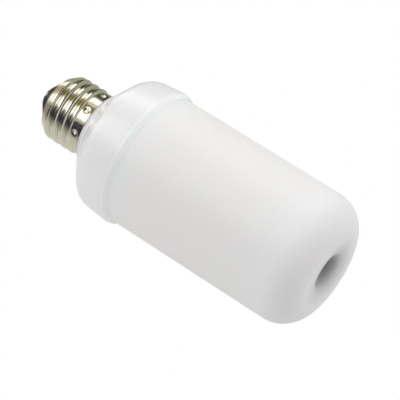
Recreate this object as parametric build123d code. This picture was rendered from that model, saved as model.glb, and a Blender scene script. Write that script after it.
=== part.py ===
from build123d import *
from math import atan2, cos, degrees, radians, sin, tan
import os

# Flame effect LED bulb with an E27 screw cap. It stands on its head, so the cap points up.
# Sizes are in millimetres. Heights are measured up from the ring that the head stands on.

# Diffuser: a frosted tube with a closed, dished head
diffuser_radius = 26.0
diffuser_length = 88.2
diffuser_wall = 1.5
head_fillet = 12.0
standing_ring_width = 1.8
dish_radius = 12.0
dish_angle = radians(21)
funnel_lip_radius = 4.4
funnel_angle = radians(62)
funnel_tip_radius = 2.5
head_facets = 3

# Housing: collar, shoulder and the neck that goes up inside the cap
housing_height = 26.0
collar_overlap = 8.0
collar_clearance = 0.1
rim_wall = 1.35
rim_round_height = 3.4
rim_facets = 2
shoulder_excess = 0.4
shoulder_drop = 11.55
shoulder_root_drop = 1.48
shoulder_fillet = 7.5
top_face_width = 0.95
top_edge = 0.4
housing_wall = 1.8
seat_lip = 0.2
neck_wall = 1.5
neck_clearance = 0.35
neck_end_gap = 2.0

# Screw cap: a thin shell with ridges at the E27 pitch, crests and roots
thread_pitch = 3.629
thread_major_radius = 13.15
thread_depth = 1.02
thread_length = 11.8
thread_lead = 0.09
shell_wall = 0.3
skirt_step = 0.55
skirt_cover = 1.7
skirt_show = 3.0
skirt_gap = 0.05
shell_end_step = 0.35
shell_cone_height = 3.3
shell_cone_width = 2.5
shell_fold_width = 0.7

# Insulator and centre contact at the tip of the cap
insulator_height = 4.2
insulator_tip_radius = 5.1
insulator_edge = 0.4
insulator_step = 0.5
insulator_flange_thickness = 1.8
insulator_clearance = 0.1
contact_radius = 4.5
contact_thickness = 0.9
contact_edge = 0.5
solder_radius = 3.2
solder_height = 0.8
stem_radius = 1.5
stem_length = 4.5

# Light engine: a core tube with a screwed flange, a rolled side board and a round end board
core_wall = 1.3
core_gap = 1.5
flange_gap = 0.4
flange_width = 5.9
flange_thickness = 1.6
end_ledge = 1.0
end_ledge_thickness = 1.2
end_board_thickness = 1.0
end_board_clearance = 0.1
side_board_thickness = 0.3
side_board_clearance = 0.05
side_board_seam = 1.2
side_board_margin = 2.1
led_columns = 12
led_rows = 8
led_end_margin = 4.4
led_width = 2.8
led_length = 3.5
led_height = 0.7
end_led_count = 3
end_led_circle_radius = 9.5
lead_slot_clearance = 0.8

# Screws that hold the core to the housing
screw_count = 3
screw_start_angle = 90
screw_radius = 1.1
screw_length = 7.0
screw_hole_clearance = 0.05
screw_head_radius = 2.0
screw_head_height = 1.4
screw_head_edge = 0.7
screw_recess_length = 2.6
screw_recess_width = 0.5
screw_recess_depth = 0.5
boss_radius = 2.6
thread_bite = 0.2

# Driver board in the neck and shoulder
board_thickness = 1.2
board_edge_gap = 0.78
board_wide_half_width = 13.0
board_wide_height = 8.0
board_lift = 2.8
board_end_gap = 2.2
rib_width = 1.0
rib_reach = 1.8
rib_gap = 0.05

# Parts on the driver board
part_standoff = 0.1
pin_width = 0.5
pin_reach = 1.6
can_edge = 0.4
can_groove_depth = 0.35
can_groove_width = 0.9
can_groove_inset = 1.5
can_lift = 0.5
input_can_clearance = 1.28
input_can_length = 11.5
input_can_pin_pitch = 3.5
output_can_radius = 3.15
output_can_length = 8.5
output_can_pin_pitch = 2.5
buck_drum_radius = 3.9
buck_drum_height = 7.5
buck_drum_flange = 1.2
buck_drum_waist = 2.9
filter_drum_radius = 3.0
filter_drum_height = 5.5
filter_drum_flange = 1.0
filter_drum_waist = 2.2
resistor_radius = 1.6
resistor_length = 7.0
resistor_edge = 0.7
bridge_size = (4.7, 3.9, 2.4)
bridge_leg_count = 2
bridge_leg_pitch = 2.5
chip_size = (4.9, 3.9, 1.5)
chip_leg_count = 4
chip_leg_pitch = 1.27
leg_width = 0.4
leg_thickness = 0.2
foot_length = 1.0
diode_size = (4.3, 2.6, 2.1)
diode_tab_size = (0.6, 1.4, 1.2)
small_resistor_size = (2.0, 1.25, 0.5)
small_capacitor_size = (2.0, 1.25, 0.9)

# Where those parts stand on the board, from its centre line
shoulder_column = 6.4
chip_column = 8.4
chip_row_shift = -0.6
small_column = 3.6
small_row_high = 2.2
small_row_low = -0.2
resistor_edge_gap = 4.6
bridge_edge_gap = 4.8
bridge_small_shift = 5.2
input_can_shift = 0.6
filter_drum_rise = 5.6
diode_lift = 2.4

# Wires
wire_radius = 0.5
wire_gap = 0.05
panel_lead_width = 7.0
panel_lead_thickness = 0.8
panel_lead_over = 1.5
panel_lead_tail = 3.5
panel_lead_bend = 1.3
panel_lead_lap = 2.4
end_lead_near = 3.0
end_lead_far = 5.5
end_lead_shift = 3.0
end_lead_tail = 1.5
mains_wire_radius = 0.6
mains_wire_edge_gap = 3.7
mains_wire_tail = 3.5
live_wire_bend_height = 3.6
live_wire_entry = 1.5
neck_crossing_gap = 0.4

# Heights that follow from the sizes above
collar_rim_z = diffuser_length - collar_overlap
housing_top_z = collar_rim_z + housing_height
skirt_z = housing_top_z - skirt_cover
thread_z = housing_top_z + skirt_show
thread_end_z = thread_z + thread_length
shell_top_z = thread_end_z + shell_cone_height
insulator_low_z = shell_top_z - shell_wall - insulator_flange_thickness
insulator_top_z = shell_top_z + insulator_height
neck_top_z = insulator_low_z - neck_end_gap
flange_top_z = diffuser_length
flange_bottom_z = flange_top_z - flange_thickness
side_board_high_z = flange_bottom_z - side_board_margin
board_bottom_z = flange_top_z + board_lift
board_top_z = neck_top_z - board_end_gap
shoulder_mid_z = board_bottom_z + board_wide_height / 2
neck_mid_z = (housing_top_z + board_top_z) / 2

# Whole ridges that the thread's length holds
thread_count = int(thread_length / thread_pitch)

# Radii that follow from the sizes above
collar_bore = diffuser_radius + collar_clearance
cavity_radius = diffuser_radius - diffuser_wall - seat_lip
shoulder_radius = diffuser_radius + shoulder_excess
thread_minor_radius = thread_major_radius - thread_depth
skirt_radius = thread_major_radius - skirt_step
skirt_bore = skirt_radius - shell_wall
pocket_radius = skirt_radius + skirt_gap
top_face_radius = pocket_radius + top_face_width
shell_end_radius = thread_major_radius - shell_end_step
shell_fold_radius = shell_end_radius - shell_cone_width
shell_fold_inside = shell_fold_radius - shell_wall / 2
shell_opening_radius = shell_fold_radius - shell_fold_width
neck_radius = thread_minor_radius - shell_wall - neck_clearance
neck_bore = neck_radius - neck_wall
board_half_width = neck_bore - board_edge_gap
input_can_radius = (neck_bore - board_thickness / 2 - part_standoff - input_can_clearance) / 2
flange_radius = cavity_radius - flange_gap
core_radius = flange_radius - flange_width
core_bore = core_radius - core_wall
core_rebate = core_radius - core_wall / 2
screw_circle = (core_radius + flange_radius) / 2
side_board_inner = core_radius + side_board_clearance
side_board_outer = side_board_inner + side_board_thickness

# The shoulder's cone, and how far its inner face lies from its outer one across the axis
shoulder_angle = atan2(shoulder_radius - top_face_radius, shoulder_drop - shoulder_root_drop)
shoulder_side_wall = housing_wall / cos(shoulder_angle)

# Columns on the neck's part of the board, measured in from its edges
resistor_column = resistor_edge_gap - board_half_width
bridge_column = board_half_width - bridge_edge_gap
mains_wire_column = board_half_width - mains_wire_edge_gap

ON_BASE = (Align.CENTER, Align.CENTER, Align.MIN)


def turned(*lines):
    """Turn a closed outline, drawn as radius and height, about the bulb's axis."""
    edges = [edge for line in lines for edge in line.edges()]
    return revolve(Plane.XZ * make_face(edges), Axis.Z)


def rod(radius, low, high):
    """Plain bar on the bulb's axis, between two heights."""
    return Pos(0, 0, low) * Cylinder(radius, high - low, align=ON_BASE)


def ring(inner, outer, low, high):
    """Plain ring on the bulb's axis, between two radii and two heights."""
    return rod(outer, low, high) - rod(inner, low, high)


def group(solids):
    """One node that holds several separate solids."""
    return Compound(children=[Part(item.wrapped) for item in solids])


def wire(points, radius):
    """Round wire along straight runs."""
    path = Polyline(*points)
    start = Plane(origin=path @ 0, z_dir=path % 0)
    return sweep(start * Circle(radius), path=path, transition=Transition.RIGHT)


def head_outline(inset):
    """Edges of the head from the tube's wall to the axis, inset by none or all of the wall."""
    land = diffuser_radius - head_fillet
    dish_centre = Vector(land - standing_ring_width, dish_radius)
    dish_normal = Vector(-sin(dish_angle), -cos(dish_angle))
    funnel_normal = Vector(-sin(funnel_angle), -cos(funnel_angle))
    lip_centre = dish_centre + dish_normal * (dish_radius - funnel_lip_radius)
    lip_end = lip_centre + funnel_normal * funnel_lip_radius
    cone_run = (lip_end.X + funnel_normal.X * funnel_tip_radius) / cos(funnel_angle)
    tip_z = lip_end.Y + cone_run * sin(funnel_angle) + funnel_normal.Y * funnel_tip_radius
    dish_turn = degrees(dish_angle)
    funnel_turn = degrees(funnel_angle)
    fillet_arc = CenterArc((land, head_fillet), head_fillet - inset, 0, -90)
    dish_arc = CenterArc(dish_centre, dish_radius - inset, -90, -dish_turn)
    lip_arc = CenterArc(lip_centre, funnel_lip_radius - inset, -90 - dish_turn, dish_turn - funnel_turn)
    tip_arc = CenterArc((0, tip_z), funnel_tip_radius + inset, 90 - funnel_turn, funnel_turn)
    flat = Line(fillet_arc @ 1, dish_arc @ 0)
    cone = Line(lip_arc @ 1, tip_arc @ 0)
    return [fillet_arc, flat, dish_arc, lip_arc, cone, tip_arc]


def make_diffuser():
    """Frosted tube, open above, with a dished head that ends in a blunt funnel.

    The wall's inner side is cut in straight facets, which touch the inset outline at their ends.
    """
    outer = head_outline(0)
    fillet_arc, flat, dish_arc, lip_arc, cone, tip_arc = head_outline(diffuser_wall)
    tip_z = (tip_arc @ 1).Y
    tip_width = (cone @ 1).X - (tip_z - (cone @ 1).Y) / tan(funnel_angle)
    inner_top = (diffuser_radius - diffuser_wall, diffuser_length)
    outside = Polyline(outer[0] @ 0, (diffuser_radius, diffuser_length), inner_top)
    inside = Polyline(
        inner_top,
        *[fillet_arc @ (step / head_facets) for step in range(head_facets + 1)],
        dish_arc @ 0,
        lip_arc @ 0,
        cone @ 0,
        (tip_width, tip_z),
        (0, tip_z),
        outer[-1] @ 1,
    )
    return turned(*outer, outside, inside)


# The core ends a little above the funnel, whose inner tip is the last point of the inner outline
core_end_z = (head_outline(diffuser_wall)[-1] @ 1).Y + core_gap
core_ledge_z = core_end_z + end_board_thickness


def shoulder_height_at(radius):
    """Height of the shoulder's outer cone at a radius."""
    return housing_top_z - shoulder_drop + (shoulder_radius - radius) / tan(shoulder_angle)


def screw_bars(radius, low, high):
    """Bars on the three screw places, between two heights."""
    places = PolarLocations(screw_circle, screw_count, screw_start_angle)
    return [place * rod(radius, low, high) for place in places]


def board_ribs(low):
    """Two pairs of upright ribs in the neck, with the driver board's edges between them."""
    centre_x = neck_bore + neck_wall / 2 - (rib_reach + neck_wall) / 2
    centre_y = board_thickness / 2 + rib_gap + rib_width / 2
    rib = Box(rib_reach + neck_wall, rib_width, neck_top_z - low, align=ON_BASE)
    neck = rod(neck_bore + neck_wall / 2, low, neck_top_z)
    places = [(side * centre_x, face * centre_y, low) for side in (-1, 1) for face in (-1, 1)]
    return [Pos(*place) * rib & neck for place in places]


def make_housing():
    """Hollow housing: flared collar, coned shoulder, and a neck for the cap and the board."""
    rim_top = (collar_bore + rim_wall, collar_rim_z + rim_round_height)
    rim_inside = (collar_bore, collar_rim_z)
    pocket_top = (pocket_radius, housing_top_z)
    outside = FilletPolyline(
        rim_top,
        (shoulder_radius, housing_top_z - shoulder_drop),
        (top_face_radius, housing_top_z - shoulder_root_drop),
        radius=shoulder_fillet,
    )
    edge = Polyline(
        outside @ 1,
        (top_face_radius, housing_top_z - top_edge),
        (top_face_radius - top_edge, housing_top_z),
        pocket_top,
    )
    round_rim = TangentArc(rim_top, rim_inside, tangent=-(outside % 0))
    rim = Polyline(*[round_rim @ (step / rim_facets) for step in range(rim_facets + 1)])
    neck_outside = Polyline(
        pocket_top,
        (pocket_radius, skirt_z),
        (skirt_bore - skirt_gap, skirt_z),
        (skirt_bore - skirt_gap, thread_z),
        (neck_radius, thread_z),
        (neck_radius, neck_top_z),
        (neck_bore, neck_top_z),
    )
    neck_foot_z = shoulder_height_at(neck_bore + shoulder_side_wall)
    inside = Polyline(
        (neck_bore, neck_top_z),
        (neck_bore, neck_foot_z),
        (cavity_radius, shoulder_height_at(cavity_radius + shoulder_side_wall)),
        (cavity_radius, diffuser_length),
        (collar_bore, diffuser_length),
        rim_inside,
    )
    closing = Polyline(pocket_top, (0, housing_top_z), (0, collar_rim_z), rim_inside)
    body = turned(rim, outside, edge, neck_outside, inside)
    envelope = turned(rim, outside, edge, closing)
    body += [envelope & boss for boss in screw_bars(boss_radius, flange_top_z, housing_top_z)]
    body -= screw_bars(screw_radius - thread_bite, flange_top_z, flange_top_z + screw_length)
    return body + board_ribs(neck_foot_z)


def ridge_points(inset):
    """Roots and crests of the shell, and where its cone starts, from the skirt up, inset across the axis."""
    points = [(thread_minor_radius - inset, thread_z + thread_lead)]
    for turn in range(thread_count):
        root_z = thread_z + thread_lead + turn * thread_pitch
        points.append((thread_major_radius - inset, root_z + thread_pitch / 2))
        points.append((thread_minor_radius - inset, root_z + thread_pitch))
    return [*points, (shell_end_radius - inset, thread_end_z)]


def make_screw_shell():
    """Thin metal shell: plain skirt, ridges, and a coned end folded over the insulator."""
    under_fold_z = shell_top_z - shell_wall
    outline = Polyline(
        (skirt_radius, skirt_z),
        (skirt_radius, thread_z),
        *ridge_points(0),
        (shell_fold_radius, shell_top_z),
        (shell_opening_radius, shell_top_z),
        (shell_opening_radius, under_fold_z),
        (shell_fold_inside, under_fold_z),
        *reversed(ridge_points(shell_wall)),
        (skirt_bore, thread_z),
        (skirt_bore, skirt_z),
        close=True,
    )
    return turned(outline)


def make_base_insulator():
    """Black insulator: a flange held under the shell's fold, and a cone that carries the contact."""
    under_fold_z = shell_top_z - shell_wall
    flange = shell_fold_inside - insulator_clearance
    throat = shell_opening_radius - insulator_clearance
    throat_top = (throat, shell_top_z + insulator_step)
    hole = stem_radius + insulator_clearance
    outline = Polyline(
        throat_top,
        (insulator_tip_radius + insulator_edge, insulator_top_z - insulator_edge),
        (insulator_tip_radius, insulator_top_z),
        (hole, insulator_top_z),
        (hole, insulator_low_z),
        (flange, insulator_low_z),
        (flange, under_fold_z),
        (throat, under_fold_z),
        close=True,
    )
    return turned(outline)


def make_centre_contact():
    """Round contact plate with a spot of solder, and a tubular stem that takes the live wire."""
    bore = mains_wire_radius + wire_gap
    stem_z = insulator_top_z - stem_length
    plate_z = insulator_top_z + contact_thickness
    solder = TangentArc((0, plate_z + solder_height), (solder_radius, plate_z), tangent=(1, 0))
    outline = Polyline(
        solder @ 1,
        (contact_radius - contact_edge, plate_z),
        (contact_radius, plate_z - contact_edge),
        (contact_radius, insulator_top_z),
        (stem_radius, insulator_top_z),
        (stem_radius, stem_z),
        (bore, stem_z),
        (bore, insulator_top_z),
        (0, insulator_top_z),
        solder @ 0,
    )
    return turned(solder, outline)


def make_led_core():
    """Moulded tube with a screwed flange above and a ledge below for the end board."""
    core = turned(
        Polyline(
            (core_radius, core_end_z),
            (core_radius, flange_bottom_z),
            (flange_radius, flange_bottom_z),
            (flange_radius, flange_top_z),
            (core_bore, flange_top_z),
            (core_bore, core_ledge_z + end_ledge_thickness),
            (core_bore - end_ledge, core_ledge_z + end_ledge_thickness),
            (core_bore - end_ledge, core_ledge_z),
            (core_rebate, core_ledge_z),
            (core_rebate, core_end_z),
            close=True,
        )
    )
    slot_width = panel_lead_width + 2 * lead_slot_clearance
    slot_depth = side_board_outer + panel_lead_thickness + lead_slot_clearance - core_radius
    slot = Box(slot_width, slot_depth, flange_thickness, align=(Align.CENTER, Align.MAX, Align.MIN))
    core -= Pos(0, -core_radius, flange_bottom_z) * slot
    return core - screw_bars(screw_radius + screw_hole_clearance, flange_bottom_z, flange_top_z)


def make_core_screws():
    """Pan head screws, with a cross recess, driven up through the flange into the bosses."""
    head_z = flange_bottom_z - screw_head_height
    head = rod(screw_head_radius, head_z, flange_bottom_z)
    head = chamfer(head.edges().group_by(Axis.Z)[0], screw_head_edge)
    shank = rod(screw_radius - thread_bite, flange_bottom_z, flange_bottom_z + screw_length)
    slot = Box(screw_recess_length, screw_recess_width, screw_recess_depth, align=ON_BASE)
    screw = head + shank - Pos(0, 0, head_z) * (slot + Rot(0, 0, 90) * slot)
    places = PolarLocations(screw_circle, screw_count, screw_start_angle)
    return group([place * screw for place in places])


def make_side_board():
    """Flexible board rolled round the core, with an open seam."""
    board = ring(side_board_inner, side_board_outer, core_ledge_z, side_board_high_z)
    seam = Box(core_radius, side_board_seam, diffuser_length, align=(Align.MAX, Align.CENTER, Align.MIN))
    return board - Pos(-core_radius / 2, 0, 0) * seam


def led_package():
    """One light emitter: a low block, its back on the XY plane."""
    return Box(led_width, led_length, led_height, align=ON_BASE)


def make_side_leds():
    """Grid of emitters round the side board, facing outwards."""
    low = core_ledge_z + led_end_margin + led_length / 2
    high = side_board_high_z - led_end_margin - led_length / 2
    emitter = Pos(side_board_outer, 0, 0) * Rot(0, 90, 0) * Rot(0, 0, 90) * led_package()
    emitters = []
    for row in range(led_rows):
        height = low + (high - low) * row / (led_rows - 1)
        for column in range(led_columns):
            turn = 360 * (column + 0.5) / led_columns
            emitters.append(Pos(0, 0, height) * Rot(0, 0, turn) * emitter)
    return group(emitters)


def make_end_board():
    """Round board let into the end of the core."""
    return rod(core_rebate - end_board_clearance, core_end_z, core_ledge_z)


def make_end_leds():
    """Emitters on the end board, facing the head."""
    emitter = Pos(0, 0, core_end_z) * Rot(180, 0, 0) * led_package()
    return group([place * emitter for place in PolarLocations(end_led_circle_radius, end_led_count)])


def make_driver_board():
    """T shaped board: narrow in the neck and wide in the shoulder."""
    narrow = Box(2 * board_half_width, board_thickness, board_top_z - board_bottom_z, align=ON_BASE)
    wide = Box(2 * board_wide_half_width, board_thickness, board_wide_height, align=ON_BASE)
    return Pos(0, 0, board_bottom_z) * (narrow + wide)


def on_front(x, z):
    """Place on the board's front face: local Z points off the board and local Y points up."""
    return Pos(x, board_thickness / 2, z) * Rot(-90, 0, 0) * Rot(0, 0, 180)


def on_back(x, z):
    """Place on the board's back face: local Z points off the board and local Y points up."""
    return Pos(x, -board_thickness / 2, z) * Rot(90, 0, 0)


def can(radius, length):
    """Electrolytic can on its base: a crimped groove near the base and a broken top edge."""
    body = Cylinder(radius, length, align=ON_BASE)
    waist = Cylinder(radius - can_groove_depth, can_groove_width, align=ON_BASE)
    groove = Cylinder(radius, can_groove_width, align=ON_BASE) - waist
    body -= Pos(0, 0, can_groove_inset) * groove
    return chamfer(body.edges().group_by(Axis.Z)[-1], can_edge)


def bent_pin(x, start_y, reach, height):
    """Square pin that leaves a lying part along Y and turns down to the board."""
    end_y = start_y + reach
    along = Pos(x, (start_y + end_y) / 2, height) * Box(pin_width, abs(reach) + pin_width, pin_width)
    return along + Pos(x, end_y, 0) * Box(pin_width, pin_width, height, align=ON_BASE)


def make_input_capacitor():
    """Mains electrolytic can lying on the board, with two bent pins."""
    height = input_can_radius + part_standoff
    base_y = -input_can_length / 2
    body = Pos(0, base_y, height) * Rot(-90, 0, 0) * can(input_can_radius, input_can_length)
    for side in (-1, 1):
        body += bent_pin(side * input_can_pin_pitch / 2, base_y, -pin_reach, height)
    return on_front(0, neck_mid_z + input_can_shift) * body


def make_output_capacitor():
    """Low-voltage electrolytic can standing off the board on two pins."""
    body = Pos(0, 0, can_lift) * can(output_can_radius, output_can_length)
    pin = Box(pin_width, pin_width, can_lift, align=ON_BASE)
    for side in (-1, 1):
        body += Pos(side * output_can_pin_pitch / 2, 0, 0) * pin
    return on_front(shoulder_column, shoulder_mid_z) * body


def drum(radius, height, flange, waist):
    """Ferrite drum with a wound waist, standing on the board."""
    winding_height = height - 2 * flange
    bobbin = Cylinder(radius, height, align=ON_BASE)
    gap = Cylinder(radius, winding_height, align=ON_BASE) - Cylinder(waist, winding_height, align=ON_BASE)
    return bobbin - Pos(0, 0, flange) * gap


def make_buck_inductor():
    """Drum inductor of the step-down supply."""
    body = drum(buck_drum_radius, buck_drum_height, buck_drum_flange, buck_drum_waist)
    return on_front(-shoulder_column, shoulder_mid_z) * body


def make_filter_inductor():
    """Smaller drum choke behind the board, in the shoulder's throat."""
    body = drum(filter_drum_radius, filter_drum_height, filter_drum_flange, filter_drum_waist)
    return on_back(0, shoulder_mid_z + small_row_high + filter_drum_rise) * body


def make_fusible_resistor():
    """Axial resistor lying on the board, with domed ends and bent pins."""
    height = resistor_radius + part_standoff
    barrel = Cylinder(resistor_radius, resistor_length)
    barrel = chamfer(barrel.edges().filter_by(GeomType.CIRCLE), resistor_edge)
    body = Pos(0, 0, height) * Rot(90, 0, 0) * barrel
    for side in (-1, 1):
        body += bent_pin(0, side * resistor_length / 2, side * pin_reach, height)
    return on_back(resistor_column, neck_mid_z) * body


def gull_wing_part(size, legs, pitch):
    """Moulded block with legs that step down to the board along its two long sides."""
    length, width, height = size
    body = Pos(0, 0, part_standoff) * Box(length, width, height, align=ON_BASE)
    foot = Box(leg_width, foot_length, leg_thickness, align=ON_BASE)
    riser = Box(leg_width, leg_thickness, height / 2 + part_standoff, align=ON_BASE)
    for side in (-1, 1):
        for leg in range(legs):
            x = (leg - (legs - 1) / 2) * pitch
            body += Pos(x, side * (width + foot_length) / 2, 0) * foot
            body += Pos(x, side * (width + leg_thickness) / 2, 0) * riser
    return body


def make_bridge_rectifier():
    """Four-leg bridge beside the resistor."""
    return on_back(bridge_column, neck_mid_z) * gull_wing_part(bridge_size, bridge_leg_count, bridge_leg_pitch)


def make_buck_chip():
    """Eight-leg chip of the step-down supply."""
    body = gull_wing_part(chip_size, chip_leg_count, chip_leg_pitch)
    return on_back(-chip_column, shoulder_mid_z + chip_row_shift) * body


def make_flame_controller():
    """Eight-leg chip that plays the flame pattern."""
    body = gull_wing_part(chip_size, chip_leg_count, chip_leg_pitch)
    return on_back(chip_column, shoulder_mid_z + chip_row_shift) * body


def make_freewheel_diode():
    """Moulded diode with two folded tabs, between the inductor and the can."""
    body = Pos(0, 0, part_standoff) * Box(*diode_size, align=ON_BASE)
    for side in (-1, 1):
        body += Pos(side * diode_size[0] / 2, 0, 0) * Box(*diode_tab_size, align=ON_BASE)
    return on_front(0, board_bottom_z + diode_lift) * Rot(0, 0, 90) * body


def small_parts(places, size):
    """Small blocks on the back of the board."""
    return group([on_back(x, z) * Box(*size, align=ON_BASE) for x, z in places])


def make_chip_resistors():
    """Small resistors: three between the chips and one at each end of the bridge."""
    high = shoulder_mid_z + small_row_high
    low = shoulder_mid_z + small_row_low
    places = [(-small_column, high), (-small_column, low), (small_column, high)]
    places += [(bridge_column, neck_mid_z + side * bridge_small_shift) for side in (-1, 1)]
    return small_parts(places, small_resistor_size)


def make_chip_capacitors():
    """Small ceramic capacitors between the chips."""
    high = shoulder_mid_z + small_row_high
    low = shoulder_mid_z + small_row_low
    return small_parts([(0, high), (0, low), (small_column, low)], small_capacitor_size)


def make_live_wire():
    """Wire from inside the contact's stem down to the front of the board."""
    front_y = board_thickness / 2 + mains_wire_radius
    points = [
        (0, 0, insulator_top_z),
        (0, 0, board_top_z + live_wire_bend_height),
        (mains_wire_column, front_y, board_top_z + live_wire_entry),
        (mains_wire_column, front_y, board_top_z - mains_wire_tail),
    ]
    return wire(points, mains_wire_radius)


def make_neutral_wire():
    """Wire from the front of the board, over the neck's end, cut off where it meets the shell."""
    front_y = board_thickness / 2 + mains_wire_radius
    over_z = neck_top_z + neck_crossing_gap + mains_wire_radius
    points = [
        (-mains_wire_column, front_y, board_top_z - mains_wire_tail),
        (-mains_wire_column, front_y, over_z),
        (-thread_major_radius, front_y, over_z),
    ]
    space = Polyline(
        (0, thread_z),
        *ridge_points(shell_wall + wire_gap),
        (shell_fold_inside - wire_gap, shell_top_z),
        (0, shell_top_z),
        close=True,
    )
    return wire(points, mains_wire_radius) & turned(space)


def make_panel_leads():
    """Ribbon of wires from the back of the board, out over the flange, down to the side board."""
    back_y = -(board_thickness + panel_lead_thickness) / 2
    over_z = flange_top_z + panel_lead_over
    lap_y = -(side_board_outer + wire_gap + panel_lead_thickness / 2)
    path = FilletPolyline(
        (0, back_y, over_z + panel_lead_tail),
        (0, back_y, over_z),
        (0, lap_y, over_z),
        (0, lap_y, side_board_high_z - panel_lead_lap),
        radius=panel_lead_bend,
    )
    start = Plane(origin=path @ 0, x_dir=(1, 0, 0), z_dir=path % 0)
    return sweep(start * Rectangle(panel_lead_width, panel_lead_thickness), path=path)


def make_end_leads():
    """Two wires from the front of the board, down through the core, to the end board."""
    front_y = board_thickness / 2 + wire_radius
    span = flange_bottom_z - core_ledge_z
    leads = []
    for side in (-1, 1):
        points = [
            (side * end_lead_near, front_y, board_bottom_z + end_lead_tail),
            (side * end_lead_near, front_y, core_ledge_z + span * 3 / 4),
            (side * end_lead_far, front_y + end_lead_shift, core_ledge_z + span / 3),
            (side * end_lead_far, front_y + end_lead_shift, core_ledge_z),
        ]
        leads.append(wire(points, wire_radius))
    return group(leads)


NODES = {
    "screw_shell": make_screw_shell,
    "base_insulator": make_base_insulator,
    "centre_contact": make_centre_contact,
    "housing": make_housing,
    "diffuser": make_diffuser,
    "led_core": make_led_core,
    "core_screws": make_core_screws,
    "side_board": make_side_board,
    "side_leds": make_side_leds,
    "end_board": make_end_board,
    "end_leds": make_end_leds,
    "driver_board": make_driver_board,
    "input_capacitor": make_input_capacitor,
    "output_capacitor": make_output_capacitor,
    "filter_inductor": make_filter_inductor,
    "buck_inductor": make_buck_inductor,
    "fusible_resistor": make_fusible_resistor,
    "bridge_rectifier": make_bridge_rectifier,
    "buck_chip": make_buck_chip,
    "flame_controller": make_flame_controller,
    "freewheel_diode": make_freewheel_diode,
    "chip_resistors": make_chip_resistors,
    "chip_capacitors": make_chip_capacitors,
    "live_wire": make_live_wire,
    "neutral_wire": make_neutral_wire,
    "panel_leads": make_panel_leads,
    "end_leads": make_end_leads,
}

os.makedirs("parts", exist_ok=True)
for node, make in NODES.items():
    export_step(make(), f"parts/{node}.step")
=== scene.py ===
import math

import bmesh
import bpy
from bpy.props import FloatProperty, FloatVectorProperty, IntProperty, PointerProperty
from mathutils import Matrix, Vector


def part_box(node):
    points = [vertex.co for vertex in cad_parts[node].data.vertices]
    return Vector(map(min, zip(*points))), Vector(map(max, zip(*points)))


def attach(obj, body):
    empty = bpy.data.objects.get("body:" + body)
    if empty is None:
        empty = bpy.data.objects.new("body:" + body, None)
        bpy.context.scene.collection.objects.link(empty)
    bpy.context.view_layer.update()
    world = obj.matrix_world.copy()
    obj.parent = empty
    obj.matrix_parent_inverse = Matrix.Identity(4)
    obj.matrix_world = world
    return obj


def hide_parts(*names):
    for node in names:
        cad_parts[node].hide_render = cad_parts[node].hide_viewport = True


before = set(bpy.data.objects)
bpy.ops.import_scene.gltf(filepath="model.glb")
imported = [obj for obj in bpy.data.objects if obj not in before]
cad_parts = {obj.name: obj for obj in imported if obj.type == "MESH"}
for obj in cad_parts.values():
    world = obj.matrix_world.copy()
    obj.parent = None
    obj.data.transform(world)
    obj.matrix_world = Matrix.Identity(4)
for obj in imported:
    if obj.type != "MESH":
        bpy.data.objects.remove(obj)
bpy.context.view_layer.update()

bl_info = {
    "name": "Flame Effect LED Bulb",
    "version": (1, 0, 0),
    "blender": (4, 5, 0),
    "location": "View3D > Sidebar > Bulb",
    "description": "Gives a flame effect LED bulb its finishes, its rolled screw cap and a plain studio",
    "category": "Object",
}

MM = 0.001
SHELL_LOW, SHELL_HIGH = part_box("screw_shell")
HOUSING_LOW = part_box("housing")[0]
CAP_MIDDLE = Vector((0.0, 0.0, (SHELL_LOW.z + SHELL_HIGH.z) / 2))

# Radius of the cap's plain skirt, where it stands in the housing
SHELL_SKIRT = 12.6 * MM

# Vertices that are nearer to each other than this are joined
MERGE = 0.001 * MM

# The housing's outer skin near its two ends: heights above the collar's rim and radii, in millimetres
COLLAR_SKIN = (
    (0.0, 26.02),
    (0.25, 26.06),
    (0.5, 26.22),
    (0.75, 26.48),
    (1.05, 26.74),
    (1.4, 27.0),
    (1.9, 27.2),
    (2.6, 27.37),
    (3.4, 27.45),
)
EDGE_SKIN = (
    (21.3, 17.3),
    (22.0, 16.2),
    (22.7, 15.05),
    (23.4, 14.05),
    (24.0, 13.35),
    (24.6, 13.1),
    (25.2, 12.95),
    (25.7, 12.87),
    (26.0, 12.8),
)

# The edge round the cap's skirt is brought down: heights above the collar's rim, in millimetres, where that
# starts and where the edge then ends
EDGE_LOW, EDGE_HIGH = 24.0, 24.9

# How near to a cut its vertices snap, how near to it the ring that it makes lies, and how thick the skin is
CUT_SNAP = 0.002 * MM
RING_GAP = 0.003 * MM
SKIN_DEPTH = 0.08 * MM

# What the cap's metal reflects, as turns about the axis in degrees and tones against a white room: first the
# thread's crests and all that stands straight, then the flanks that face the head
CREST_TONES = (
    (180, (0.80, 0.80, 0.77)),
    (226, (0.80, 0.80, 0.77)),
    (237, (0.26, 0.25, 0.22)),
    (243, (0.05, 0.05, 0.065)),
    (256, (0.05, 0.05, 0.065)),
    (262, (0.60, 0.60, 0.54)),
    (267, (2.30, 2.30, 2.30)),
    (276, (2.30, 2.30, 2.30)),
    (283, (0.45, 0.38, 0.19)),
    (296, (0.30, 0.25, 0.12)),
    (302, (2.20, 2.20, 2.20)),
    (310, (2.20, 2.20, 2.20)),
    (316, (0.14, 0.14, 0.09)),
    (331, (0.05, 0.06, 0.035)),
    (341, (0.40, 0.43, 0.37)),
    (360, (0.50, 0.54, 0.47)),
)
FLANK_TONES = (
    (180, (0.85, 0.85, 0.80)),
    (232, (0.75, 0.75, 0.70)),
    (244, (0.06, 0.06, 0.075)),
    (290, (0.07, 0.07, 0.07)),
    (302, (0.30, 0.29, 0.22)),
    (312, (0.50, 0.50, 0.42)),
    (360, (0.45, 0.49, 0.42)),
)

# The tone that the dome's colours are shares of
BRIGHTEST = 2.4

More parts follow.
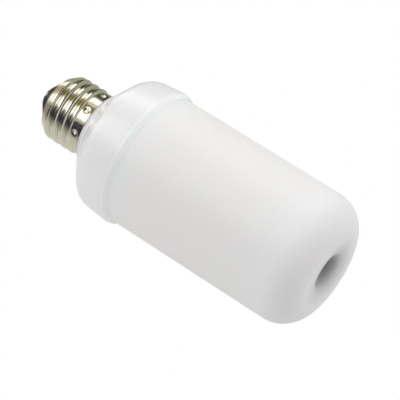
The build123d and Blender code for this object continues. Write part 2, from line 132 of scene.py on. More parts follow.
# The z of the metal's unit normal where the crests' tones give way to the flanks': where that starts and ends
FLANK_RISE = (-0.24, -0.40)

# Tones for the cone, for what faces the head and for what faces the tip: the z of the unit normal where each
# starts and where it is full, its amount and the tone
END_TONES = (
    (0.48, 0.58, 0.5, (0.75, 0.73, 0.65)),
    (-0.80, -0.92, 1.0, (1.0, 1.0, 1.0)),
    (0.70, 0.78, 1.0, (0.0144, 0.0144, 0.0192)),
)

# How far the borders between the tones wander, as a share of a half turn
RAGGEDNESS = 0.035

# The range that a noise pattern mostly keeps to
NOISE_LOW, NOISE_HIGH = 0.3, 0.7

# Tones of the cap's tarnish and of the painted shade in its thread's roots, of the painted shade line where
# it meets the housing, and of the painted light on the housing's thin rim
TARNISH_AND_SHADE_TONE = (0.42, 0.36, 0.24)
CREASE_SHADE_TONE = (0.05, 0.05, 0.06)
RIM_LIGHT_TONE = (0.97, 0.96, 0.955)

# Heights above the ring that the head stands on, between which the LED panel's tint fades in and out
TINT_START = (8 * MM, 34 * MM)
TINT_STOP = (62 * MM, 88 * MM)

# Distances from the axis between which the painted shade of the funnel and of the dish fades, and heights for
# both
FUNNEL_SHADE = (3 * MM, 9 * MM)
DISH_SHADE = (7 * MM, 15 * MM)
HEAD_SHADE = (10 * MM, 20 * MM)

# The wires' finishes, tones and nodes
WIRES = (
    ("wire_red", (0.55, 0.04, 0.03), ("live_wire",)),
    ("wire_blue", (0.05, 0.12, 0.45), ("neutral_wire",)),
    ("wire_white", (0.80, 0.80, 0.80), ("panel_leads", "end_leads")),
)

# The softboxes' places, widths and heights, and the point that they face, in metres
KEY_SOFTBOX = ((0.85, -0.25, 0.28), 0.28, 0.7)
FRONT_SOFTBOX = ((0.03, -0.72, 0.50), 0.12, 0.35)
LOW_SOFTBOX = ((0.6, -0.1, -0.4), 0.2, 0.2)
LIT_POINT = (0.0, 0.0, 0.07)

# Where the room is darkest, and the cosines of the angle to it between which the light falls off
DARKEST = (-0.1, -0.1, -0.99)
SHADE_RANGE = (0.6, 1.0)

# Half the floor's width and its gap below the bulb
FLOOR_REACH = 6.0
FLOOR_GAP = 0.02 * MM


def length(name, description, default):
    """A length that the user can change, in metres."""
    return FloatProperty(
        name=name, description=description, default=default, min=0.0, unit="LENGTH", precision=5
    )


def angle(name, description, degrees):
    """An angle that the user can change."""
    return FloatProperty(name=name, description=description, default=math.radians(degrees), subtype="ANGLE")


def colour(name, description, default):
    """A colour that the user can change, as linear values."""
    return FloatVectorProperty(
        name=name, description=description, default=default, size=3, min=0.0, max=1.0, subtype="COLOR"
    )


def share(name, description, default):
    """A value from none to all."""
    return FloatProperty(
        name=name, description=description, default=default, min=0.0, max=1.0, subtype="FACTOR"
    )


def lamp_power(name, description, default):
    """A softbox's power that the user can change."""
    return FloatProperty(name=name, description=description, default=default, min=0.0, unit="POWER")


class BulbCapSizes(bpy.types.PropertyGroup):
    """Sizes of the screw cap's shell."""

    crest_radius: length("Crest radius", "Radius over the thread's crests", SHELL_HIGH.x)
    root_radius: length("Root radius", "Radius over the thread's roots", 12.13 * MM)
    pitch: length("Pitch", "Rise of the thread in one turn", 3.629 * MM)
    arc_radius: length("Arc radius", "Radius of the thread's rounded crests and roots", 1.025 * MM)
    start_angle: angle("Start angle", "Where a crest stands at the thread's lower end", 117)
    wall: length("Wall", "Thickness of the sheet", 0.3 * MM)
    skirt_radius: length("Skirt radius", "Radius of the plain skirt", SHELL_SKIRT)
    skirt_height: length("Skirt height", "Height of the plain skirt, with what the housing covers", 4.7 * MM)
    thread_length: length("Thread length", "Height of the threaded part", 11.8 * MM)
    run_out: length("Run-out", "Height over which the thread fades at each end", 1.0 * MM)
    end_radius: length("End radius", "Radius where the thread ends and the end's cone starts", 12.95 * MM)
    end_round: length("End rounding", "Radius between the thread's end and the cone", 1.6 * MM)
    fold_radius: length("Fold radius", "Radius where the cone is folded inwards", 10.6 * MM)
    fold_round: length("Fold rounding", "Radius of the fold", 0.35 * MM)
    opening_radius: length("Opening radius", "Radius of the hole that the fold leaves", 9.6 * MM)
    dent_count: IntProperty(name="Dents", description="How many dents hold the skirt", default=8, min=1)
    dent_start: angle("First dent", "Where the first dent stands", 240)
    dent_radius: length("Dent radius", "Radius of one dent on the skirt", 1.5 * MM)
    dent_depth: length("Dent depth", "How deep a dent is punched", 0.55 * MM)
    dent_height: length("Dent height", "Height of the dents above the skirt's lower edge", 3.3 * MM)


class BulbColours(bpy.types.PropertyGroup):
    """Colours of the bulb's finishes."""

    nickel: colour("Nickel", "Bright nickel plate", (0.70, 0.67, 0.565))
    insulator: colour("Insulator", "Black insulator", (0.010, 0.010, 0.013))
    housing: colour("Housing", "Glossy white moulding", (0.855, 0.851, 0.860))
    diffuser: colour("Diffuser", "Frosted milky moulding", (0.84, 0.83, 0.832))
    glow: colour("Panel tint", "What the LED panel adds behind the frost", (0.86, 0.78, 0.74))
    glow_amount: share("Panel tint amount", "How much of the panel shows through the frost", 0.35)


class BulbStudio(bpy.types.PropertyGroup):
    """Camera and light."""

    camera_place: FloatVectorProperty(
        name="Camera place",
        description="Where the camera stands",
        default=(-0.0025, -0.744, -0.2293),
        size=3,
        subtype="TRANSLATION",
        unit="LENGTH",
    )
    camera_tilt: angle("Camera tilt", "How far the camera looks up", 21)
    camera_roll: angle("Camera roll", "How far the camera is rolled", 57.7)
    lens: FloatProperty(name="Lens", description="Focal length in millimetres", default=198.0, min=1.0)
    key_power: lamp_power("Key power", "Power of the side softbox", 1.0)
    front_power: lamp_power("Front power", "Power of the front softbox", 0.92)
    low_power: lamp_power("Low power", "Power of the low side softbox", 1.05)
    ambient: FloatProperty(
        name="Ambient", description="Strength of the light from all round", default=0.78, min=0.0
    )
    shade: FloatProperty(
        name="Shade", description="Strength of that light where the room is darkest", default=0.36, min=0.0
    )
    floor: colour("Floor", "Pale studio floor", (0.86, 0.86, 0.86))


# Node helpers


def new_material(name, roughness, metallic=0.0, ior=1.5):
    """Start a material and return it with its node tree and its shader."""
    material = bpy.data.materials.new(name)
    material.use_nodes = True
    tree = material.node_tree
    shader = tree.nodes["Principled BSDF"]
    shader.inputs["Roughness"].default_value = roughness
    shader.inputs["Metallic"].default_value = metallic
    shader.inputs["IOR"].default_value = ior
    return material, tree, shader


def place_on_object(tree):
    """Coordinates on the object, in metres."""
    return tree.nodes.new("ShaderNodeTexCoord").outputs["Object"]


def noise(tree, features_per_metre, detail=3.0):
    """Soft random pattern, with about that many features to the metre."""
    texture = tree.nodes.new("ShaderNodeTexNoise")
    texture.inputs["Scale"].default_value = features_per_metre
    texture.inputs["Detail"].default_value = detail
    tree.links.new(place_on_object(tree), texture.inputs["Vector"])
    return texture.outputs["Fac"]


def spread(tree, value, from_low, from_high, to_low, to_high, smooth=False):
    """Map a value from one range to another, clamped."""
    node = tree.nodes.new("ShaderNodeMapRange")
    node.interpolation_type = "SMOOTHSTEP" if smooth else "LINEAR"
    tree.links.new(value, node.inputs["Value"])
    node.inputs["From Min"].default_value = from_low
    node.inputs["From Max"].default_value = from_high
    node.inputs["To Min"].default_value = to_low
    node.inputs["To Max"].default_value = to_high
    return node.outputs["Result"]


def varied(tree, features_per_metre, low, high, detail=3.0):
    """Value that varies softly from place to place, between two numbers."""
    pattern = noise(tree, features_per_metre, detail)
    return spread(tree, pattern, NOISE_LOW, NOISE_HIGH, low, high)


def maths(tree, operation, first, second=None):
    """One sum on two values, where each is a socket or a number."""
    node = tree.nodes.new("ShaderNodeMath")
    node.operation = operation
    for socket, value in zip(node.inputs, (first, second)):
        if isinstance(value, bpy.types.NodeSocket):
            tree.links.new(value, socket)
        elif value is not None:
            socket.default_value = value
    return node.outputs["Value"]


def vector_maths(tree, operation, first, second=None):
    """One sum on a socket's vector and, where it needs two, a fixed one."""
    node = tree.nodes.new("ShaderNodeVectorMath")
    node.operation = operation
    tree.links.new(first, node.inputs[0])
    if second is not None:
        node.inputs[1].default_value = second
    return node


def blend_colours(tree, amount, first, second):
    """Mix two colours, where each is a socket or three numbers."""
    node = tree.nodes.new("ShaderNodeMix")
    node.data_type = "RGBA"
    sockets = [socket for socket in node.inputs if socket.type == "RGBA"]
    tree.links.new(amount, node.inputs["Factor"])
    for socket, value in zip(sockets, (first, second)):
        if isinstance(value, bpy.types.NodeSocket):
            tree.links.new(value, socket)
        else:
            socket.default_value = (*value, 1.0)
    return next(socket for socket in node.outputs if socket.type == "RGBA")


def darker(tone, amount):
    """A colour taken down by a factor."""
    return tuple(value * amount for value in tone)


def choose_shader(tree, choice, first, second, output):
    """Show the first shader where the choice is 0 and the second where it is 1."""
    node = tree.nodes.new("ShaderNodeMixShader")
    for socket, value in zip(node.inputs, (choice, first, second)):
        tree.links.new(value, socket)
    tree.links.new(node.outputs["Shader"], output)


def bump(tree, shader, height, distance, under=None):
    """Raise the surface by a pattern, up to a distance in metres."""
    node = tree.nodes.new("ShaderNodeBump")
    node.inputs["Strength"].default_value = 1.0
    node.inputs["Distance"].default_value = distance
    tree.links.new(height, node.inputs["Height"])
    if under is not None:
        tree.links.new(under, node.inputs["Normal"])
    tree.links.new(node.outputs["Normal"], shader.inputs["Normal"])
    return node.outputs["Normal"]


def axis_parts(tree):
    """Distance from the bulb's axis and height, on the object."""
    split = tree.nodes.new("ShaderNodeSeparateXYZ")
    tree.links.new(place_on_object(tree), split.inputs["Vector"])
    x, y, z = (split.outputs[name] for name in "XYZ")
    squares = maths(tree, "ADD", maths(tree, "MULTIPLY", x, x), maths(tree, "MULTIPLY", y, y))
    return maths(tree, "SQRT", squares), z


def plain_finish(name, tone, roughness, features, bump_distance, metallic=0.0, variation=0.88):
    """Moulded, coated or plated finish with a soft variation of tone, gloss and surface."""
    material, tree, shader = new_material(name, roughness, metallic)
    pattern = noise(tree, features)
    colours = blend_colours(tree, pattern, darker(tone, variation), tone)
    gloss = spread(tree, pattern, NOISE_LOW, NOISE_HIGH, roughness * 0.8, roughness * 1.2)
    tree.links.new(colours, shader.inputs["Base Color"])
    tree.links.new(gloss, shader.inputs["Roughness"])
    bump(tree, shader, noise(tree, features * 4), bump_distance)
    return material


# Mesh helpers


def add_object(name, data):
    """Put a mesh, a lamp or a camera in the scene."""
    thing = bpy.data.objects.new(name, data)
    bpy.context.scene.collection.objects.link(thing)
    return thing


def new_piece(name, mesh, material, nodes, sharp=35.0):
    """Make a finished object of a mesh: smooth, on its body, in place of its solids."""
    piece = add_object(name, mesh)
    mesh.materials.clear()
    mesh.materials.append(material)
    mesh.shade_smooth()
    mesh.set_sharp_from_angle(angle=math.radians(sharp))
    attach(piece, "root")
    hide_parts(*nodes)
    return piece


def smooth_copy(node, name, material, skins=()):
    """Stand a merged, smooth copy in place of one solid, with parts of its outer skin reshaped."""
    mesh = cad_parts[node].data.copy()
    mesh.name = name
    work = bmesh.new()
    work.from_mesh(mesh)
    bmesh.ops.remove_doubles(work, verts=work.verts, dist=MERGE)
    for skin in skins:
        reshape_skin(work, skin)
    work.to_mesh(mesh)
    work.free()
    return new_piece(name, mesh, material, [node])


def dress(material, *nodes):
    """Give solids their finish."""
    for node in nodes:
        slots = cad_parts[node].material_slots
        if not slots:
            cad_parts[node].data.materials.append(material)
        for slot in slots:
            slot.material = material


def vert_at(work, point):
    """Vertex of an outline that lies nearest to a radius and height."""
    place = Vector((point[0], 0.0, point[1]))
    return min(work.verts, key=lambda vert: (vert.co - place).length)


def lathe(name, points, rounded, cuts, steps):
    """Spin a closed outline of radius and height into a mesh.

    rounded gives a radius for a point's number, and cuts a number of divisions for the run after a point.
    """
    work = bmesh.new()
    verts = [work.verts.new((radius, 0.0, height)) for radius, height in points]
    edges = [work.edges.new((verts[i - 1], verts[i])) for i in range(len(verts))]
    for point, number in cuts.items():
        bmesh.ops.subdivide_edges(work, edges=[edges[(point + 1) % len(edges)]], cuts=number)
    for point, radius in rounded.items():
        bmesh.ops.bevel(
            work,
            geom=[vert_at(work, points[point])],
            offset=radius,
            offset_type="OFFSET",
            affect="VERTICES",
            segments=10,
            profile=0.5,
            material=-1,
        )
    bmesh.ops.remove_doubles(work, verts=work.verts, dist=MERGE)
    bmesh.ops.spin(
        work,
        geom=work.verts[:] + work.edges[:],
        cent=(0, 0, 0),
        axis=(0, 0, 1),
        dvec=(0, 0, 0),
        angle=math.tau,
        steps=steps,
        use_merge=True,
        use_normal_flip=False,
        use_duplicate=False,
    )
    bmesh.ops.remove_doubles(work, verts=work.verts, dist=MERGE)
    bmesh.ops.recalc_face_normals(work, faces=work.faces)
    mesh = bpy.data.meshes.new(name)
    work.to_mesh(mesh)
    work.free()
    return mesh


def fade(value, low, high):
    """Smooth step from 0 to 1."""
    part = min(max((value - low) / (high - low), 0.0), 1.0)
    return part * part * (3 - 2 * part)


def reshape_skin(work, skin):
    """Cut a turned mesh at heights, and move its outermost ring at each to a radius."""
    for rise, radius in skin:
        height = HOUSING_LOW.z + rise * MM
        bmesh.ops.bisect_plane(
            work,
            geom=work.verts[:] + work.edges[:] + work.faces[:],
            dist=CUT_SNAP,
            plane_co=(0, 0, height),
            plane_no=(0, 0, 1),
            use_snap_center=True,
            clear_outer=False,
            clear_inner=False,
        )
        level = [vert for vert in work.verts if abs(vert.co.z - height) < RING_GAP]
        outermost = max(vert.co.xy.length for vert in level)
        for vert in level:
            if vert.co.xy.length > outermost - SKIN_DEPTH:
                vert.co.xy = vert.co.xy.normalized() * radius * MM


def lower_edge(mesh):
    """Bring down the housing's edge round the cap's skirt."""
    start = HOUSING_LOW.z + EDGE_LOW * MM
    share_left = (EDGE_HIGH - EDGE_LOW) / (EDGE_SKIN[-1][0] - EDGE_LOW)
    for vertex in mesh.vertices:
        if vertex.co.z > start and vertex.co.xy.length > SHELL_SKIRT:
            vertex.co.z = start + (vertex.co.z - start) * share_left


# Screw cap


def thread_radius(cap, along):
    """Radius of the rolled thread at a distance along the axis from a crest."""
    arc = cap.arc_radius
    crest_centre = cap.crest_radius - arc
    root_centre = cap.root_radius + arc
    half_pitch = cap.pitch / 2
    rise = root_centre - crest_centre
    tangent = math.atan2(rise, half_pitch) + math.acos(min(1.0, 2 * arc / math.hypot(half_pitch, rise)))
    reach = arc * math.cos(tangent)
    offset = abs((along + half_pitch) % cap.pitch - half_pitch)
    if offset < reach:
        return crest_centre + math.sqrt(arc**2 - offset**2)
    if offset > half_pitch - reach:
        return root_centre - math.sqrt(arc**2 - (offset - half_pitch) ** 2)
    upper = crest_centre + arc * math.sin(tangent)
    lower = root_centre - arc * math.sin(tangent)
    return upper + (lower - upper) * (offset - reach) / (half_pitch - 2 * reach)


def shell_mesh(cap):
    """Rolled sheet: dented skirt, thread with run-outs, and an end folded inwards."""
    low = SHELL_LOW.z
    thread_low = low + cap.skirt_height
    thread_high = thread_low + cap.thread_length
    top = SHELL_HIGH.z
    wall = cap.wall
    points = [
        (cap.skirt_radius, low),
        (cap.skirt_radius, thread_low),
        (cap.end_radius, thread_high),
        (cap.fold_radius, top),
        (cap.opening_radius, top),
        (cap.opening_radius, top - wall),
        (cap.fold_radius - wall / 2, top - wall),
        (cap.end_radius - wall, thread_high),
        (cap.skirt_radius - wall, thread_low),
        (cap.skirt_radius - wall, low),
    ]
    skirt, thread, end, fold, inner_thread, inner_skirt = 0, 1, 2, 3, 7, 8
    mesh = lathe(
        "screw_shell_rolled",
        points,
        rounded={end: cap.end_round, fold: cap.fold_round},
        cuts={skirt: 28, thread: 110, inner_thread: 40, inner_skirt: 12},
        steps=216,
    )
    dent_turn = math.tau / cap.dent_count
    for vertex in mesh.vertices:
        x, y, z = vertex.co
        radius = math.hypot(x, y)
        turn = math.atan2(y, x)
        along = min(max((z - thread_low) / cap.thread_length, 0.0), 1.0)
        base = cap.skirt_radius + (cap.end_radius - cap.skirt_radius) * along
        shift = 0.0
        if thread_low < z < thread_high:
            starting = fade(z, thread_low, thread_low + cap.run_out)
            ending = fade(-z, -thread_high, cap.run_out - thread_high)
            amount = starting * ending
            rise = (turn - cap.start_angle) / math.tau * cap.pitch
            shift = (thread_radius(cap, z - thread_low - rise) - base) * amount
        elif z <= thread_low:
            around = ((turn - cap.dent_start + dent_turn / 2) % dent_turn - dent_turn / 2) * radius
            away = math.hypot(around, z - low - cap.dent_height) / cap.dent_radius
            shift = -cap.dent_depth * (1 - away * away) ** 2 if away < 1 else 0.0
        vertex.co.x = (radius + shift) * math.cos(turn)
        vertex.co.y = (radius + shift) * math.sin(turn)
    return mesh


def nickel_finish(colours, cap):
    """Nickel plate, tarnished on the skirt, with painted shade in the thread's roots and a painted shade line
    where it meets the housing.
    """
    material, tree, shader = new_material("nickel_plate", 0.13, metallic=1.0)
    distance, height = axis_parts(tree)
    skirt_high = SHELL_LOW.z + cap.skirt_height
    edge = HOUSING_LOW.z + EDGE_HIGH * MM
    # Painted shade: the thread's roots are darkened in the base colour, where their hollows fall in shade
    roots = spread(tree, distance, cap.root_radius, cap.root_radius + 0.5 * MM, 0.3, 0.0, smooth=True)
    skirt = spread(tree, height, skirt_high - 0.6 * MM, skirt_high + 0.4 * MM, 0.42, 0.0, smooth=True)
    patches = spread(tree, noise(tree, 130, detail=2), 0.4, 0.62, 0.3, 1.0)
    # One mask holds both the skirt's tarnish and the painted shade in the roots
    tarnish_and_root_shade = maths(tree, "MAXIMUM", roots, maths(tree, "MULTIPLY", skirt, patches))
    # Painted shade: a dark line painted on the skirt where it meets the housing
    crease_shade = spread(tree, height, edge + 0.3 * MM, edge + 0.8 * MM, 0.8, 0.0, smooth=True)
    tone = tuple(colours.nickel)
    plate = blend_colours(tree, noise(tree, 260, detail=5), darker(tone, 0.9), tone)
    tarnished = blend_colours(tree, tarnish_and_root_shade, plate, TARNISH_AND_SHADE_TONE)
    gloss = spread(tree, noise(tree, 900, detail=4), 0.35, 0.7, 0.09, 0.19)
    tree.links.new(blend_colours(tree, crease_shade, tarnished, CREASE_SHADE_TONE), shader.inputs["Base Color"])
    tree.links.new(gloss, shader.inputs["Roughness"])
    fine = bump(tree, shader, noise(tree, 2400, detail=2), 0.004 * MM)
    bump(tree, shader, noise(tree, 170, detail=2), 0.03 * MM, under=fine)
    return material


class BULB_OT_screw_shell(bpy.types.Operator):
    """Roll the screw cap's shell"""

    bl_idname = "bulb.screw_shell"
    bl_label = "Screw Shell"

    def execute(self, context):
        cap = context.scene.bulb_cap
        material = nickel_finish(context.scene.bulb_colours, cap)
        new_piece("screw_shell_rolled", shell_mesh(cap), material, ["screw_shell"], sharp=50)
        return {"FINISHED"}


class BULB_OT_cap_end(bpy.types.Operator):
    """Finish the insulator and the centre contact"""

    bl_idname = "bulb.cap_end"
    bl_label = "Insulator and Contact"

    def execute(self, context):
        tone = tuple(context.scene.bulb_colours.insulator)
        glassy = plain_finish("black_insulator", tone, 0.2, 500, 0.01 * MM, variation=0.6)
        smooth_copy("base_insulator", "base_insulator_glossy", glassy)
        plated = plain_finish("contact_metal", (0.62, 0.59, 0.53), 0.24, 700, 0.02 * MM, metallic=1.0)
        smooth_copy("centre_contact", "centre_contact_plated", plated)
        return {"FINISHED"}


# Housing and diffuser


def housing_finish(colours):
    """Glossy white plastic, with painted light where the collar thins to its rim."""
    material, tree, shader = new_material("white_housing", 0.2)
    tone = tuple(colours.housing)
    _, height = axis_parts(tree)
    moulded = blend_colours(tree, noise(tree, 90, detail=2), darker(tone, 0.975), tone)
    rim = HOUSING_LOW.z
    # Painted light: the collar's base colour is lightened towards its thin rim
    rim_painted_light = spread(tree, height, rim + 0.8 * MM, rim + 3.2 * MM, 1.0, 0.0, smooth=True)
    tree.links.new(blend_colours(tree, rim_painted_light, moulded, RIM_LIGHT_TONE), shader.inputs["Base Color"])
    tree.links.new(varied(tree, 120, 0.2, 0.28), shader.inputs["Roughness"])
    bump(tree, shader, noise(tree, 60, detail=0), 0.04 * MM)
    shader.inputs["Subsurface Weight"].default_value = 0.15
    shader.inputs["Subsurface Scale"].default_value = 1.5 * MM
    return material


class BULB_OT_housing(bpy.types.Operator):
    """Finish the glossy white housing"""

    bl_idname = "bulb.housing"
    bl_label = "Housing"

    def execute(self, context):
        material = housing_finish(context.scene.bulb_colours)
        skins = (COLLAR_SKIN, EDGE_SKIN)
        piece = smooth_copy("housing", "housing_moulded", material, skins=skins)
        lower_edge(piece.data)
        return {"FINISHED"}


def frosted_finish(colours):
    """Milky frosted plastic that shows the LED panel faintly, with painted shade where the head folds in."""
    material, tree, shader = new_material("frosted_diffuser", 0.5, ior=1.46)
    tone = tuple(colours.diffuser)
    distance, height = axis_parts(tree)
    milky = blend_colours(tree, noise(tree, 60, detail=2), darker(tone, 0.985), tone)
    low = spread(tree, height, *TINT_START, 0.0, 1.0, smooth=True)
    high = spread(tree, height, *TINT_STOP, 1.0, 0.0, smooth=True)
    mottle = varied(tree, 45, 0.75, 1.0, detail=2)
    lit = maths(tree, "MULTIPLY", maths(tree, "MULTIPLY", low, high), mottle)
    amount = maths(tree, "MULTIPLY", lit, colours.glow_amount)
    tinted = blend_colours(tree, amount, milky, tuple(colours.glow))
    # Painted shade: the funnel and the dish at the head are darkened in the base colour
    funnel_painted_shade = spread(tree, distance, *FUNNEL_SHADE, 0.62, 0.0, smooth=True)
    dish_painted_shade = spread(tree, distance, *DISH_SHADE, 0.33, 0.0, smooth=True)
    near_head = spread(tree, height, *HEAD_SHADE, 1.0, 0.0)
    folded = maths(tree, "MULTIPLY", maths(tree, "ADD", funnel_painted_shade, dish_painted_shade), near_head)
    tinted_and_shaded = blend_colours(tree, folded, tinted, darker(tone, 0.25))
    tree.links.new(tinted_and_shaded, shader.inputs["Base Color"])
    tree.links.new(varied(tree, 1200, 0.44, 0.56), shader.inputs["Roughness"])
    bump(tree, shader, noise(tree, 4200, detail=2), 0.012 * MM)
    shader.inputs["Subsurface Weight"].default_value = 0.25
    shader.inputs["Subsurface Scale"].default_value = 3 * MM
    return material


class BULB_OT_diffuser(bpy.types.Operator):
    """Finish the frosted diffuser"""

    bl_idname = "bulb.diffuser"
    bl_label = "Diffuser"

    def execute(self, context):
        material = frosted_finish(context.scene.bulb_colours)
        smooth_copy("diffuser", "diffuser_frosted", material)
        return {"FINISHED"}


# Light engine and driver


def emitter_finish():
    """Warm yellow windows, each in a package whose white rim stands further from the axis."""
    material, tree, shader = new_material("led_phosphor", 0.4)
    cell = tree.nodes.new("ShaderNodeTexVoronoi")
    cell.inputs["Scale"].default_value = 1600
    tree.links.new(place_on_object(tree), cell.inputs["Vector"])
    phosphor = blend_colours(tree, cell.outputs["Distance"], (0.95, 0.62, 0.16), (0.80, 0.45, 0.09))
    distance, _ = axis_parts(tree)
    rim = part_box("side_leds")[1].x
    inside = spread(tree, distance, rim - 0.16 * MM, rim - 0.1 * MM, 1.0, 0.0)
    tree.links.new(blend_colours(tree, inside, (0.88, 0.87, 0.84), phosphor), shader.inputs["Base Color"])
    bump(tree, shader, noise(tree, 2500), 0.01 * MM)
    return material


class BULB_OT_light_engine(bpy.types.Operator):
    """Finish the core, the LED boards, their emitters and the screws"""

    bl_idname = "bulb.light_engine"
    bl_label = "Light Engine"

    def execute(self, context):
        dress(plain_finish("white_core", (0.82, 0.82, 0.80), 0.45, 120, 0.02 * MM), "led_core")
        board = plain_finish("white_board", (0.84, 0.84, 0.81), 0.35, 300, 0.01 * MM)
        dress(board, "side_board", "end_board")
        dress(emitter_finish(), "side_leds", "end_leds")
        zinc = plain_finish("zinc_steel", (0.58, 0.59, 0.62), 0.3, 900, 0.01 * MM, metallic=1.0)
        dress(zinc, "core_screws")
        return {"FINISHED"}


class BULB_OT_driver(bpy.types.Operator):
    """Finish the driver board and what stands on it"""

    bl_idname = "bulb.driver"
    bl_label = "Driver"

    def execute(self, context):
        laminate = plain_finish("driver_laminate", (0.10, 0.27, 0.10), 0.35, 350, 0.02 * MM, variation=0.6)
        dress(laminate, "driver_board")
        sleeve = plain_finish("capacitor_sleeve", (0.035, 0.04, 0.055), 0.28, 400, 0.01 * MM, variation=0.7)
        dress(sleeve, "input_capacitor", "output_capacitor")
        ferrite = plain_finish("ferrite", (0.10, 0.09, 0.085), 0.6, 1500, 0.05 * MM, variation=0.6)
        dress(ferrite, "filter_inductor", "buck_inductor")
        dress(plain_finish("resistor_coat", (0.13, 0.33, 0.38), 0.4, 600, 0.02 * MM), "fusible_resistor")
        epoxy = plain_finish("chip_epoxy", (0.035, 0.035, 0.038), 0.5, 2000, 0.02 * MM, variation=0.7)
        dress(epoxy, "bridge_rectifier", "buck_chip", "flame_controller", "freewheel_diode", "chip_resistors")
        dress(plain_finish("ceramic_tan", (0.55, 0.40, 0.25), 0.5, 1800, 0.02 * MM), "chip_capacitors")
        return {"FINISHED"}


class BULB_OT_wires(bpy.types.Operator):
    """Finish the wires"""

    bl_idname = "bulb.wires"
    bl_label = "Wires"

    def execute(self, context):
        for name, tone, nodes in WIRES:
            dress(plain_finish(name, tone, 0.4, 500, 0.02 * MM), *nodes)
        return {"FINISHED"}


# Studio


def one_sided(material):
    """Let a surface be seen through from behind."""
    tree = material.node_tree
    behind = tree.nodes.new("ShaderNodeNewGeometry").outputs["Backfacing"]
    clear = tree.nodes.new("ShaderNodeBsdfTransparent").outputs["BSDF"]
    finish = tree.nodes["Principled BSDF"].outputs["BSDF"]
    choose_shader(tree, behind, finish, clear, tree.nodes["Material Output"].inputs["Surface"])


def stage_object(name, work, material):
    """Put a stage mesh in the scene."""
    mesh = bpy.data.meshes.new(name)
    work.to_mesh(mesh)
    work.free()
    mesh.materials.append(material)
    thing = add_object(name, mesh)
    return thing


def add_floor(studio):
    """Pale floor with the bulb's shadow, which only a camera above it sees."""
    material = plain_finish("studio_floor", tuple(studio.floor), 0.8, 20, 0.01 * MM, variation=0.99)
    one_sided(material)
    work = bmesh.new()
    bmesh.ops.create_grid(work, x_segments=1, y_segments=1, size=FLOOR_REACH)
    floor = stage_object("studio_floor", work, material)
    floor.location.z = -FLOOR_GAP
    floor.visible_diffuse = False
    floor.visible_shadow = False
    floor.visible_glossy = False


def toward_camera(studio):
    """Direction from the middle of the cap to the camera."""
    return (Vector(studio.camera_place) - CAP_MIDDLE).normalized()


def mirrored(studio, turn, tilt):
    """Direction of the room that the cap's metal, at a turn about the axis and a tilt, shows the camera."""
    view = toward_camera(studio)
    level = math.cos(tilt)
    normal = Vector((level * math.cos(turn), level * math.sin(turn), math.sin(tilt)))
    return 2 * normal.dot(view) * normal - view


def shown_by(tree, studio):
    """Turn about the axis and z of the unit normal of the metal that shows a point of the dome."""
    outward = vector_maths(tree, "NORMALIZE", place_on_object(tree))
    halfway = vector_maths(tree, "ADD", outward.outputs["Vector"], toward_camera(studio))
    normal = vector_maths(tree, "NORMALIZE", halfway.outputs["Vector"])
    split = tree.nodes.new("ShaderNodeSeparateXYZ")
    tree.links.new(normal.outputs["Vector"], split.inputs["Vector"])
    return maths(tree, "ARCTAN2", split.outputs["Y"], split.outputs["X"]), split.outputs["Z"]


def tone_ramp(tree, along, tones):
    """Colours along the turn that the tones cover, as shares of the brightest tone."""
    ramp = tree.nodes.new("ShaderNodeValToRGB")
    tree.links.new(along, ramp.inputs["Fac"])
    elements = ramp.color_ramp.elements
    while len(elements) < len(tones):
        elements.new(1.0)
    first = tones[0][0]
    reach = tones[-1][0] - first
    for element, (degrees, tone) in zip(elements, tones):
        element.position = (degrees - first) / reach
        element.color = (*darker(tone, 1 / BRIGHTEST), 1.0)
    return ramp.outputs["Color"]


def dome_finish(studio):
    """Glow with the tones that the cap's metal shows, which lights nothing else."""
    material, tree, shader = new_material("room_dome", 1.0)
    material.cycles.emission_sampling = "NONE"
    shader.inputs["Base Color"].default_value = (0.0, 0.0, 0.0, 1.0)
    shader.inputs["Specular IOR Level"].default_value = 0.0
    shader.inputs["Emission Strength"].default_value = BRIGHTEST
    turn, rise = shown_by(tree, studio)
    ragged = varied(tree, 9, -RAGGEDNESS, RAGGEDNESS)
    along = maths(tree, "ADD", spread(tree, turn, -math.pi, 0.0, 0.0, 1.0), ragged)
    flank = spread(tree, rise, *FLANK_RISE, 0.0, 1.0, smooth=True)
    tones = blend_colours(
        tree, flank, tone_ramp(tree, along, CREST_TONES), tone_ramp(tree, along, FLANK_TONES)
    )
    for start, full, amount, tone in END_TONES:
        reached = spread(tree, rise, start, full, 0.0, amount, smooth=True)
        tones = blend_colours(tree, reached, tones, darker(tone, 1 / BRIGHTEST))
    tree.links.new(tones, shader.inputs["Emission Color"])
    return material


def add_dome(studio, start=178, stop=362, low=-86, high=66, distance=0.45, steps=64):
    """Bent screen that only reflections see, in front of all metal of the cap that the camera sees.

    start and stop are turns about the axis and low and high are tilts, all in degrees.
    """
    work = bmesh.new()
    bmesh.ops.create_grid(work, x_segments=steps, y_segments=steps, size=0.5)
    for vert in work.verts:
        turned = math.radians(start + (stop - start) * (vert.co.x + 0.5))
        tilt = math.radians(low + (high - low) * (vert.co.y + 0.5))
        vert.co = distance * mirrored(studio, turned, tilt)
    dome = stage_object("room_dome", work, dome_finish(studio))
    dome.location = CAP_MIDDLE
    dome.visible_camera = False
    dome.visible_diffuse = False
    dome.visible_shadow = False
    dome.visible_transmission = False


def add_softbox(name, place, width, height, power):
    """Rectangular lamp that faces the bulb, and that reflections don't see."""
    data = bpy.data.lights.new(name, "AREA")
    data.shape = "RECTANGLE"
    data.size = width
    data.size_y = height
    data.energy = power
    lamp = add_object(name, data)
    lamp.location = place
    lamp.rotation_euler = (Vector(LIT_POINT) - Vector(place)).to_track_quat("-Z", "Y").to_euler()
    lamp.visible_camera = False
    lamp.visible_glossy = False


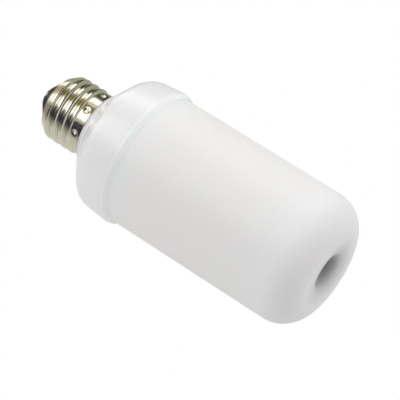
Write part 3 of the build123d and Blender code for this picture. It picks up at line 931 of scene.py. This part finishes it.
def add_world(studio):
    """Light from all round, darkest below, which the camera and reflections see as white."""
    world = bpy.data.worlds.new("studio_world")
    bpy.context.scene.world = world
    world.use_nodes = True
    tree = world.node_tree
    light = tree.nodes["Background"]
    light.inputs["Color"].default_value = (1.0, 1.0, 1.0, 1.0)
    direction = tree.nodes.new("ShaderNodeTexCoord").outputs["Generated"]
    side = vector_maths(tree, "DOT_PRODUCT", direction, Vector(DARKEST).normalized())
    strength = spread(
        tree, side.outputs["Value"], *SHADE_RANGE, studio.ambient, studio.shade, smooth=True
    )
    tree.links.new(strength, light.inputs["Strength"])
    white = tree.nodes.new("ShaderNodeBackground")
    white.inputs["Color"].default_value = (1.0, 1.0, 1.0, 1.0)
    white.inputs["Strength"].default_value = 1.0
    path = tree.nodes.new("ShaderNodeLightPath")
    seen = maths(tree, "MAXIMUM", path.outputs["Is Camera Ray"], path.outputs["Is Glossy Ray"])
    seen = maths(tree, "MAXIMUM", seen, path.outputs["Is Transmission Ray"])
    surface = tree.nodes["World Output"].inputs["Surface"]
    choose_shader(tree, seen, light.outputs["Background"], white.outputs["Background"], surface)


def add_camera(studio):
    """Camera that looks up at the bulb's head, rolled so that the cap points up and left."""
    data = bpy.data.cameras.new("studio_camera")
    data.sensor_width = 36.0
    data.lens = studio.lens
    data.clip_start = 0.01
    data.clip_end = 50.0
    camera = add_object("studio_camera", data)
    level = Matrix.Rotation(math.pi / 2 + studio.camera_tilt, 4, "X")
    roll = Matrix.Rotation(-studio.camera_roll, 4, "Z")
    camera.matrix_world = Matrix.Translation(studio.camera_place) @ level @ roll
    bpy.context.scene.camera = camera


class BULB_OT_studio(bpy.types.Operator):
    """Set up the floor, the light and the camera"""

    bl_idname = "bulb.studio"
    bl_label = "Studio"

    def execute(self, context):
        studio = context.scene.bulb_studio
        context.scene.view_settings.view_transform = "Standard"
        add_world(studio)
        add_floor(studio)
        add_camera(studio)
        add_softbox("key_softbox", *KEY_SOFTBOX, studio.key_power)
        add_softbox("front_softbox", *FRONT_SOFTBOX, studio.front_power)
        add_softbox("low_softbox", *LOW_SOFTBOX, studio.low_power)
        add_dome(studio)
        return {"FINISHED"}


class BULB_PT_sidebar(bpy.types.Panel):
    """Panel that lists the bulb's sizes, colours and steps"""

    bl_idname = "BULB_PT_sidebar"
    bl_label = "Flame Effect Bulb"
    bl_space_type = "VIEW_3D"
    bl_region_type = "UI"
    bl_category = "Bulb"

    def draw(self, context):
        layout = self.layout
        for group in (context.scene.bulb_cap, context.scene.bulb_colours, context.scene.bulb_studio):
            box = layout.box()
            for name in group.__annotations__:
                box.prop(group, name)
        for operator in OPERATORS:
            layout.operator(operator.bl_idname)


OPERATORS = (
    BULB_OT_studio,
    BULB_OT_screw_shell,
    BULB_OT_cap_end,
    BULB_OT_housing,
    BULB_OT_diffuser,
    BULB_OT_light_engine,
    BULB_OT_driver,
    BULB_OT_wires,
)
CLASSES = (BulbCapSizes, BulbColours, BulbStudio, *OPERATORS, BULB_PT_sidebar)


def register():
    """Add the classes and the settings to Blender."""
    for item in CLASSES:
        bpy.utils.register_class(item)
    bpy.types.Scene.bulb_cap = PointerProperty(type=BulbCapSizes)
    bpy.types.Scene.bulb_colours = PointerProperty(type=BulbColours)
    bpy.types.Scene.bulb_studio = PointerProperty(type=BulbStudio)


def unregister():
    """Take the classes and the settings out of Blender."""
    del bpy.types.Scene.bulb_studio
    del bpy.types.Scene.bulb_colours
    del bpy.types.Scene.bulb_cap
    for item in reversed(CLASSES):
        bpy.utils.unregister_class(item)


def main():
    """Build everything in order."""
    register()
    bpy.ops.bulb.studio()
    bpy.ops.bulb.screw_shell()
    bpy.ops.bulb.cap_end()
    bpy.ops.bulb.housing()
    bpy.ops.bulb.diffuser()
    bpy.ops.bulb.light_engine()
    bpy.ops.bulb.driver()
    bpy.ops.bulb.wires()


if __name__ == "__main__":
    main()
